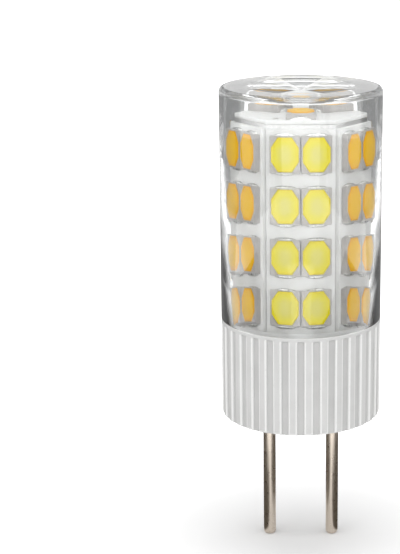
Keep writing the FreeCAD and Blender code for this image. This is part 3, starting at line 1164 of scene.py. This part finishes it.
    def build(self, resin: Finish, pale_lit_phosphor: Finish, deep_phosphor: Finish, tin: Finish) -> None:
        """Model one LED and copy it to every board.

        Args:
            resin: the packages' surface.
            pale_lit_phosphor: the same phosphor with painted light making it paler, for the front and back
                boards.
            deep_phosphor: the deeper phosphor of the other boards.
            tin: the solder's surface.
        """
        kinds = [("packages", self.package(), resin, "led_package"),
                 ("phosphor", self.phosphor(), deep_phosphor, "phosphor"),
                 ("solder", self.solder(), tin, "solder")]
        for kind, pattern, finish, slot in kinds:
            for face in Face:
                copies = [copy_of(pattern, turn(face.value) @ place) for place in self.side_places()]
                piece = joined(f"led_{kind}_{face.name.lower()}", copies)
                # The front and back boards take the paler copy of the phosphor: painted light.
                own = pale_lit_phosphor if finish is deep_phosphor and face in (Face.FRONT, Face.BACK) else finish
                dress(piece, own, f"side_led_{kind}_{face.value + 1}")
            copies = [copy_of(pattern, place) for place in self.top_places()]
            dress(joined(f"led_{kind}_top", copies), finish, f"top_led_{kind}")
            discard(pattern)


@dataclass
class LedColumn:
    """The hexagonal core, its six side boards and the top board."""

    core_corner: float
    core_foot: float
    core_top: float
    core_wall_mm: float = 0.7
    core_edge_mm: float = 0.08
    board_edge_mm: float = 0.05
    tab_mm: float = 3.2
    wire_radius_mm: float = 0.25
    wire_hole_mm: float = 0.35
    drill_mm: float = 4.0

    @classmethod
    def from_frame(cls) -> "LedColumn":
        """Read the core's sizes from the frame."""
        low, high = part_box("heat_core")
        return cls(core_corner=high[0], core_foot=low[2], core_top=high[2])

    def hexagon(self, name: str, low: float, high: float, ends: str) -> Object:
        """A hexagonal prism with one face to the front.

        Args:
            name: the piece's name.
            low: height of its foot.
            high: height of its top.
            ends: Blender's fill of the ends, such as "NGON".

        Returns:
            The prism.
        """
        deselect()
        bpy.ops.mesh.primitive_cylinder_add(
            vertices=SIDES, radius=self.core_corner, depth=high - low, location=(0, 0, (low + high) / 2),
            rotation=(0, 0, pi / 2), end_fill_type=ends)
        piece = take_new(name)
        bpy.ops.object.transform_apply(location=True, rotation=True, scale=True)
        return piece

    def build_core(self, finish: Finish) -> None:
        """Make the hollow core as a hexagonal tube.

        Args:
            finish: the core's surface.
        """
        piece = self.hexagon("core_tube", self.core_foot, self.core_top, "NOTHING")
        wall = self.core_wall_mm * MM
        apply_modifier(piece, "SOLIDIFY", thickness=wall, offset=-1.0, use_even_offset=True)
        ease_edges(piece, self.core_edge_mm, 3)
        dress(piece, finish, "heat_core")

    def build_top_board(self, finish: Finish) -> None:
        """Make the top board, drilled for the two lead wires.

        Args:
            finish: the board's surface.
        """
        low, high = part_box("top_board")
        piece = self.hexagon("board_top", low[2], high[2], "NGON")
        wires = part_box("wire_conductors")[1]
        x, y = (wires[axis] - self.wire_radius_mm * MM for axis in (0, 1))
        for side in (-1, 1):
            drill(piece, Vector((side * x, side * y, high[2])), self.wire_hole_mm, self.drill_mm, 32)
        ease_edges(piece, self.board_edge_mm)
        dress(piece, finish, "top_board")

    def build_side_boards(self, finish: Finish) -> None:
        """Model the front board with its tab and copy it round the core.

        Args:
            finish: the boards' surface.
        """
        low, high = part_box("side_board_1")
        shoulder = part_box("ceramic_base")[1][2]
        deselect()
        bpy.ops.mesh.primitive_cube_add(size=1)
        pattern = take_new("board_pattern")
        with editing(pattern):
            bpy.ops.mesh.select_all(action="SELECT")
            bpy.ops.transform.resize(value=(high[0] - low[0], high[1] - low[1], high[2] - shoulder))
            bpy.ops.transform.translate(value=(0, (low[1] + high[1]) / 2, (high[2] + shoulder) / 2))
            for side in (-1, 1):
                bpy.ops.mesh.select_all(action="SELECT")
                bpy.ops.mesh.bisect(plane_co=(side * self.tab_mm / 2 * MM, 0, 0), plane_no=(1, 0, 0))
            pick_faces(pattern, lambda f: f.normal.z < -0.9 and abs(f.calc_center_median().x) < MM)
            bpy.ops.mesh.extrude_region_move(TRANSFORM_OT_translate={"value": (0, 0, low[2] - shoulder)})
            close_up()
        ease_edges(pattern, self.board_edge_mm)
        for face in Face:
            board = copy_of(pattern, turn(face.value))
            board.name = board.data.name = f"board_{face.name.lower()}"
            dress(board, finish, f"side_board_{face.value + 1}")
        discard(pattern)


class DriverParts:
    """The hidden driver: its CAD solids keep their form and get real finishes."""

    def finishes(self) -> dict[str, Finish]:
        """Choose the finish of each hidden node.

        Returns:
            The finishes by node.
        """
        tinned = InnerPart("tinned_copper", "A8A49E", "C4C0BA", 1.0, 0.32)
        joint = InnerPart("joint_solder", "9A9A98", "BDBDBB", 1.0, 0.3)
        epoxy = InnerPart("black_epoxy", "141416", "1D1D20", 0.0, 0.5)
        return {
            "driver_board": InnerPart("green_laminate", "1B4B2E", "25603B", 0.0, 0.4),
            "pin_solder": joint,
            "bridge_rectifier": epoxy,
            "bridge_rectifier_legs": tinned,
            "driver_chip": epoxy,
            "driver_chip_legs": tinned,
            "sense_resistor": InnerPart("black_film", "0F0F10", "19191A", 0.0, 0.3),
            "sense_resistor_caps": joint,
            "smoothing_capacitor": InnerPart("dark_shrink_sleeve", "14171D", "1F242D", 0.0, 0.35),
            "capacitor_leads": tinned,
            "wire_conductors": tinned,
            "wire_insulation_positive": InnerPart("red_silicone", "9E1410", "B81D17", 0.0, 0.5),
            "wire_insulation_negative": InnerPart("black_silicone", "161616", "202020", 0.0, 0.5),
        }

    def build(self) -> None:
        """Give each hidden node its finish."""
        for node, finish in self.finishes().items():
            target = frame["nodes"][node]
            target.data.materials.clear()
            target.data.materials.append(finish.material())
            LOG.info("dressed %s", node)


@dataclass(frozen=True)
class Lamp:
    """One soft studio light."""

    name: str
    place_mm: tuple[float, float, float]
    size_mm: tuple[float, float]
    watts: float


class Stand(Enum):
    """How a studio card is set up."""

    FACING = "upright, turned to the lamp"
    SQUARE = "upright, square to the camera"
    FLAT = "lying on the floor"


@dataclass(frozen=True)
class Card:
    """One grey studio card that only reflections and, unless it says otherwise, the clear cover show."""

    name: str
    centre_mm: tuple[float, float, float]
    size_mm: tuple[float, float]
    colour: str
    stand: Stand
    through: bool = True

    def matrix(self) -> Matrix:
        """Find the card's place.

        Returns:
            The matrix that takes a unit square on the floor to the card.
        """
        centre = Vector(self.centre_mm) * MM
        width, height = (side * MM for side in self.size_mm)
        size = Matrix.Diagonal((width, height, 1, 1))
        if self.stand is Stand.FLAT:
            return Matrix.Translation(centre) @ size
        upright = Matrix.Rotation(pi / 2, 4, "X")
        heading = atan2(centre.y, centre.x) - pi / 2 if self.stand is Stand.FACING else 0.0
        return Matrix.Translation(centre) @ Matrix.Rotation(heading, 4, "Z") @ upright @ size


@dataclass
class Studio:
    """Pale floor, soft lights, grey cards and the camera."""

    target_mm: tuple[float, float, float] = (0.0, 0.0, 12.0)
    camera_mm: tuple[float, float, float] = (0.0, -157.02, 55.59)
    pitch_down: float = 14.891
    focal_px: float = 1641.8
    axis_px: float = 300.8
    frame_px: tuple[int, int] = (400, 554)
    sensor_mm: float = 36.0
    floor_mm: float = 2400.0
    # Between these distances from the base's underside a painted glow rises from nothing to full, so round
    # the pins the floor shows the real shadow and a painted shade, and further off it shows white.
    shadow_mm: tuple[float, float] = (12.0, 40.0)
    floor_lift: float = 0.9
    world_light: float = 0.45
    # Light runs far inside the clear wall, and black lines show where its path is cut off.
    bounces: int = 40
    lamps: tuple[Lamp, ...] = (
        Lamp("key_front", (-20, -330, 190), (640, 300), 0.72),
        Lamp("fill_left", (-330, -90, 110), (460, 460), 0.74),
        Lamp("fill_right", (330, -90, 110), (460, 460), 0.74),
        Lamp("top_soft", (0, 40, 380), (320, 320), 0.5),
    )
    cards: tuple[Card, ...] = (
        Card("flag_left", (-50, 44, 20), (110, 66), "8C8C8C", Stand.FACING),
        Card("flag_right", (50, 44, 20), (110, 66), "8C8C8C", Stand.FACING),
        Card("flag_high", (0, 300, 160), (500, 100), "7A7A7A", Stand.SQUARE),
        Card("flag_low", (0, 300, 51), (500, 16), "8A8A8A", Stand.SQUARE),
        Card("side_left", (-62, -22, 1), (130, 28), "303030", Stand.FACING),
        Card("side_right", (62, -22, 1), (130, 28), "303030", Stand.FACING),
        Card("ground_left", (-65, 85, -13.2), (110, 130), "8C8C8C", Stand.FLAT),
        Card("ground_right", (65, 85, -13.2), (110, 130), "8C8C8C", Stand.FLAT),
        Card("floor_left", (-25, 8, -13.1), (42, 56), "5C5750", Stand.FLAT, through=False),
        Card("floor_right", (25, 8, -13.1), (42, 56), "5C5750", Stand.FLAT, through=False),
    )

    def build_camera(self) -> None:
        """Stand the camera where the photograph was taken from."""
        data = bpy.data.cameras.new("camera")
        camera = bpy.data.objects.new("camera", data)
        bpy.context.collection.objects.link(camera)
        camera.location = Vector(self.camera_mm) * MM
        camera.rotation_euler = (radians(90 - self.pitch_down), 0, 0)
        long_side = max(self.frame_px)
        data.sensor_width = self.sensor_mm
        data.lens = self.focal_px / long_side * self.sensor_mm
        data.shift_x = -(self.axis_px - self.frame_px[0] / 2) / long_side
        data.clip_start, data.clip_end = 0.01, 10.0
        bpy.context.scene.camera = camera

    def build_lamps(self) -> None:
        """Hang the soft lights, each turned to the lamp's middle."""
        for lamp in self.lamps:
            data = bpy.data.lights.new(lamp.name, "AREA")
            data.shape = "RECTANGLE"
            data.size, data.size_y = (side * MM for side in lamp.size_mm)
            data.energy = lamp.watts
            light = bpy.data.objects.new(lamp.name, data)
            bpy.context.collection.objects.link(light)
            light.location = Vector(lamp.place_mm) * MM
            aim = Vector(self.target_mm) * MM - light.location
            light.rotation_euler = aim.to_track_quat("-Z", "Y").to_euler()
            light.visible_glossy = False

    def build_floor(self) -> None:
        """Lay a pale floor at the pins' tips with a painted glow that shows it white away from the base and
        fades out near it, leaving the lamp's shadow and a painted shade round the pins.
        """
        deselect()
        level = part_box("contact_pin_left")[0][2]
        bpy.ops.mesh.primitive_plane_add(size=self.floor_mm * MM, location=(0, 0, level))
        floor = take_new("studio_floor")
        bpy.ops.object.transform_apply(location=True)
        material = bpy.data.materials.new("studio_white")
        material.use_nodes = True
        tree = material.node_tree
        surface = tree.nodes["Principled BSDF"]
        surface.inputs["Base Color"].default_value = linear("EFEFEF")
        surface.inputs["Roughness"].default_value = 0.9
        surface.inputs["Specular IOR Level"].default_value = 0.0
        surface.inputs["Emission Color"].default_value = grey(1.0)
        near, far = (reach * MM for reach in self.shadow_mm)
        spot = add_node(tree, "ShaderNodeTexCoord")
        reach = add_node(tree, "ShaderNodeVectorMath", {"operation": "LENGTH"}, {0: spot.outputs["Object"]})
        # The painted glow grows with distance from the base, so it is missing near the pins: painted shade
        # there.
        glow = add_node(tree, "ShaderNodeMapRange", {"interpolation_type": "SMOOTHSTEP"}, {
            "Value": reach.outputs["Value"], "From Min": near, "From Max": far,
            "To Min": 0.0, "To Max": self.floor_lift})
        lift = add_node(tree, "ShaderNodeMath", {"operation": "MULTIPLY"}, {
            0: self.seen_rays(tree), 1: glow.outputs[0]})
        tree.links.new(lift.outputs[0], surface.inputs["Emission Strength"])
        floor.data.materials.append(material)

    @staticmethod
    def seen_rays(tree: Tree) -> Socket:
        """Tell camera, glossy and transmission rays from those that only light.

        Args:
            tree: the node tree to add to.

        Returns:
            A socket that is 1 for the seen rays.
        """
        path = add_node(tree, "ShaderNodeLightPath")
        first = add_node(tree, "ShaderNodeMath", {"operation": "MAXIMUM"}, {
            0: path.outputs["Is Camera Ray"], 1: path.outputs["Is Glossy Ray"]})
        both = add_node(tree, "ShaderNodeMath", {"operation": "MAXIMUM"}, {
            0: first.outputs[0], 1: path.outputs["Is Transmission Ray"]})
        return both.outputs[0]

    def build_cards(self) -> None:
        """Set up the grey cards, which light and shade nothing themselves."""
        for card in self.cards:
            deselect()
            bpy.ops.mesh.primitive_grid_add(x_subdivisions=4, y_subdivisions=4, size=1)
            piece = take_new(card.name)
            piece.data.transform(card.matrix())
            material = bpy.data.materials.new(card.name)
            material.use_nodes = True
            surface = material.node_tree.nodes["Principled BSDF"]
            surface.inputs["Base Color"].default_value = grey(0.0)
            surface.inputs["Specular IOR Level"].default_value = 0.0
            surface.inputs["Emission Color"].default_value = linear(card.colour)
            surface.inputs["Emission Strength"].default_value = 1.0
            piece.data.materials.append(material)
            piece.visible_camera = piece.visible_diffuse = piece.visible_shadow = False
            piece.visible_transmission = card.through

    def build_world(self) -> None:
        """Set a pale world that shows white to the eye and lights the lamp softly."""
        world = bpy.data.worlds.new("studio_world")
        world.use_nodes = True
        scene = bpy.context.scene
        scene.world = world
        tree = world.node_tree
        sky = tree.nodes["Background"]
        sky.inputs["Color"].default_value = grey(1.0)
        strength = add_node(tree, "ShaderNodeMapRange", inputs={
            "Value": self.seen_rays(tree), "To Min": self.world_light, "To Max": 1.0})
        tree.links.new(strength.outputs[0], sky.inputs["Strength"])
        scene.view_settings.view_transform = "Standard"
        for limit in ("max_bounces", "glossy_bounces", "transmission_bounces"):
            setattr(scene.cycles, limit, self.bounces)

    def build(self) -> None:
        """Set up the whole studio."""
        self.build_camera()
        self.build_lamps()
        self.build_floor()
        self.build_cards()
        self.build_world()


def main() -> None:
    """Build every sub-assembly and the studio."""
    logging.basicConfig(level=logging.INFO)
    ClearCover.from_frame().build(ClearPolycarbonate())
    CeramicBase.from_frame().build(FiredCeramic())
    ContactPins.from_frame().build(NickelPlate())
    white = WhiteSolderMask()
    column = LedColumn.from_frame()
    column.build_core(ExtrudedAluminium())
    column.build_side_boards(white)
    column.build_top_board(white)
    # One phosphor in two copies: the paler one is the same phosphor with painted light.
    pale_lit_phosphor = PhosphorSilicone("pale_lit_phosphor_silicone", "F4E000", "F0E430", "E8E28C")
    deep_phosphor = PhosphorSilicone("deep_phosphor_silicone", "F8B400", "FFC800", "FFCC00")
    LedSet().build(PackageResin(), pale_lit_phosphor, deep_phosphor, TinSolder())
    DriverParts().build()
    Studio().build()


if __name__ == "__main__":
    main()
